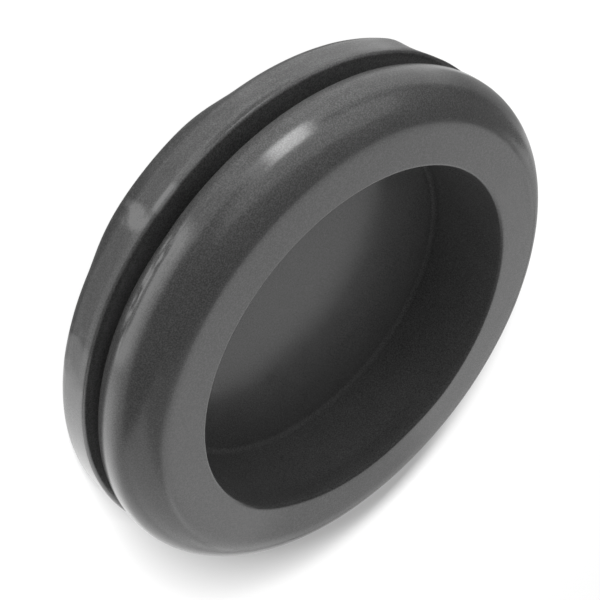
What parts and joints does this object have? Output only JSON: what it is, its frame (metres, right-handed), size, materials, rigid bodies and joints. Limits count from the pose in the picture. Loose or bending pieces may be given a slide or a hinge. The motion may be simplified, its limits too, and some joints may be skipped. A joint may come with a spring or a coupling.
{
  "type": "blind rubber grommet",
  "caption": "Moulded rubber plug that closes a round panel hole: two flanges with a panel groove between them, a rounded front bead and a blind cup.",
  "frame": {"origin": "centre of the flat rear face, on the grommet's axis", "axes": "+Z along the grommet's axis, from the closed rear face to the open mouth of the cup; X and Y are equal by symmetry"},
  "size_m": [0.0404, 0.0404, 0.0088],
  "materials": {
    "rubber": "semi-matt moulded charcoal rubber"
  },
  "bodies": {
    "root": {"grommet": "rubber"}
  },
  "joints": []
}
